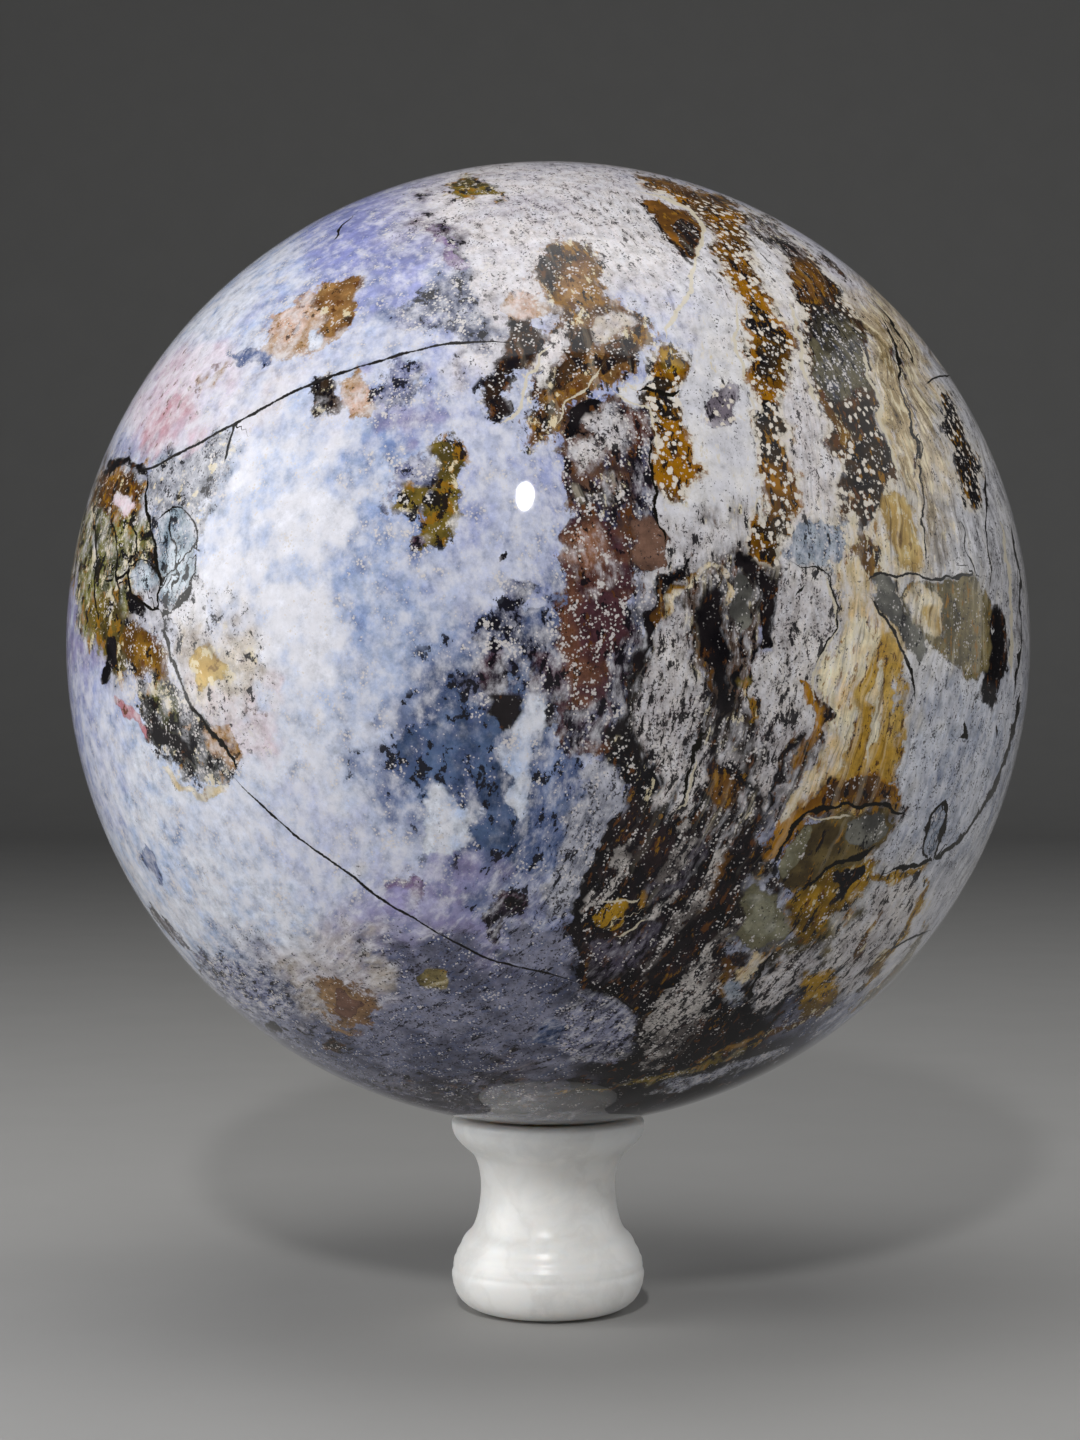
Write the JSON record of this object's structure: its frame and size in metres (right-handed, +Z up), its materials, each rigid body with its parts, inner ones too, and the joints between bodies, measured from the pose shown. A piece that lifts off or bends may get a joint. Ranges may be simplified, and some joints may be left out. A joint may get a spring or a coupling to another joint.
{
  "type": "decorative sphere",
  "caption": "Large polished sphere of patterned jasper, resting in the dished top of a small turned white marble stand.",
  "frame": {"origin": "middle of the stand's flat underside, on the surface that it stands on", "axes": "+Z up, through the middle of the stand and of the sphere; -Y towards the side that the picture shows, +X to its right"},
  "size_m": [0.25, 0.25, 0.2995],
  "materials": {
    "jasper": "polished",
    "marble": "polished"
  },
  "bodies": {
    "root": {"sphere": "jasper", "stand": "marble"}
  },
  "joints": []
}
